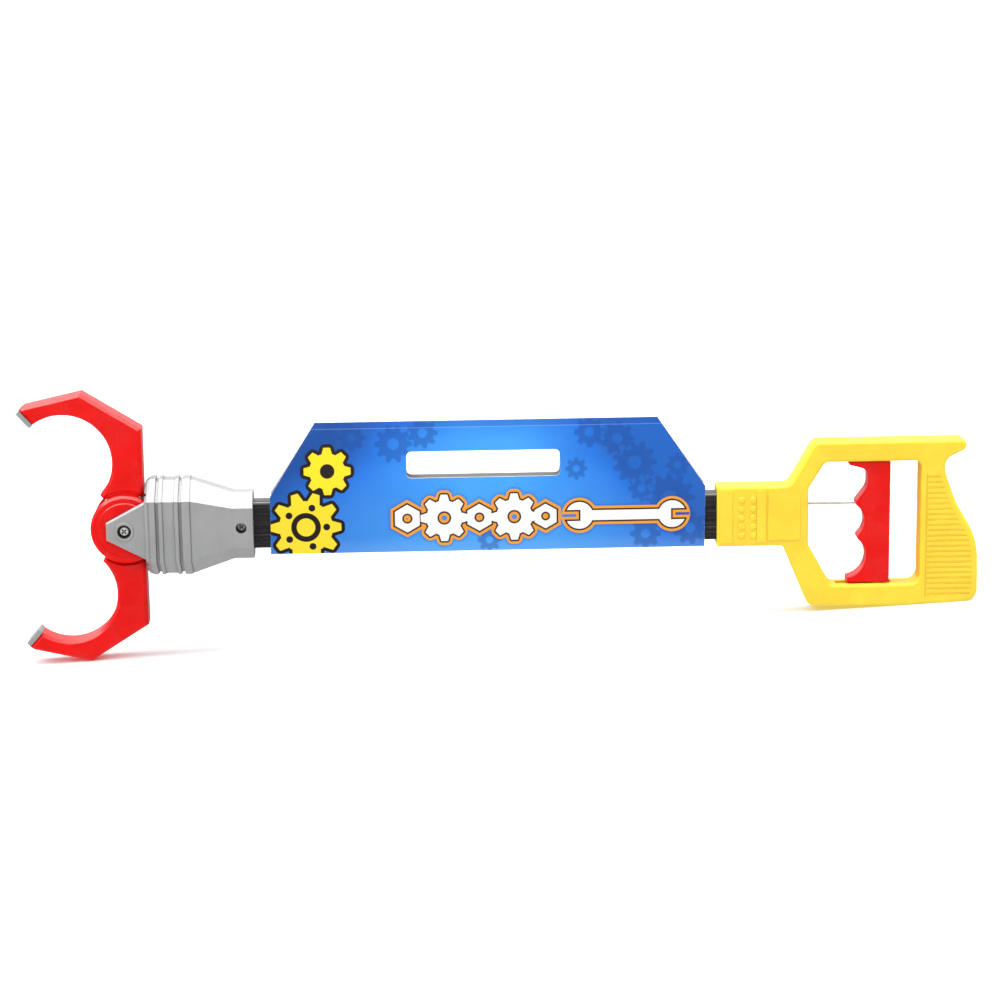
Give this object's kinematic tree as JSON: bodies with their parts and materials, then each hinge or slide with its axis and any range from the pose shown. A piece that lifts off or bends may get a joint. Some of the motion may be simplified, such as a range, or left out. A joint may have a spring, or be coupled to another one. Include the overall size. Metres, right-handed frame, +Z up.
{
  "type": "toy claw grabber",
  "caption": "Toy pincer hand on a stick: a trigger in the handle draws a rod that turns two geared claws shut; a folded display card wraps the shaft.",
  "frame": {"origin": "middle of the object's footprint, on the floor that it stands on", "axes": "+Z up; +X along the shaft from the claws to the handle; -Y is the front, the side that shows the head's screws"},
  "size_m": [0.5584, 0.0376, 0.1593],
  "materials": {
    "red_plastic": "moulded, glossy",
    "yellow_plastic": "moulded, semi-gloss",
    "grey_plastic": "moulded, silver grey, semi-gloss",
    "black_plastic": "extruded, glossy",
    "inner_plastic": "natural, unpainted",
    "grey_rubber": "soft grey pad",
    "printed_card": "printed paperboard with a satin varnish",
    "screw_steel": "zinc-plated",
    "rod_steel": "drawn wire",
    "spring_steel": "drawn spring wire"
  },
  "bodies": {
    "frame": {"handle_front_shell": "yellow_plastic", "handle_rear_shell": "yellow_plastic", "handle_screws": "screw_steel", "shaft_tube": "black_plastic", "spring_seat": "inner_plastic", "head_front_shell": "grey_plastic", "head_rear_shell": "grey_plastic", "pivot_screw": "screw_steel", "head_screw": "screw_steel", "return_spring": "spring_steel", "display_card": "printed_card"},
    "trigger_set": {"trigger": "red_plastic", "pull_rod": "rod_steel", "rod_ferrules": "rod_steel", "rack_fork": "inner_plastic"},
    "upper_claw": {"upper_claw_front": "red_plastic", "upper_claw_rear": "red_plastic", "upper_tip_pad": "grey_rubber"},
    "lower_claw": {"lower_claw_front": "red_plastic", "lower_claw_rear": "red_plastic", "lower_tip_pad": "grey_rubber"}
  },
  "joints": [
    {"name": "trigger_pull", "type": "slide", "parent": "frame", "child": "trigger_set", "axis": [0.9987, 0, -0.0513], "range_m": [0, 0.00942], "stiffness_N_per_m": 350, "springref_m": -0.016, "deforming": ["return_spring"]},
    {"name": "upper_claw_pivot", "type": "hinge", "parent": "frame", "child": "upper_claw", "pos_m": [-0.21529, 0, 0.07844], "axis": [0, -1, 0], "range_deg": [0, 48]},
    {"name": "lower_claw_pivot", "type": "hinge", "parent": "frame", "child": "lower_claw", "pos_m": [-0.21529, 0, 0.07844], "axis": [0, 1, 0], "range_deg": [0, 48]}
  ],
  "couplings": [
    {"joint": "upper_claw_pivot", "follows": "trigger_pull", "rad_per_m": 88.889},
    {"joint": "lower_claw_pivot", "follows": "trigger_pull", "rad_per_m": 88.889}
  ]
}
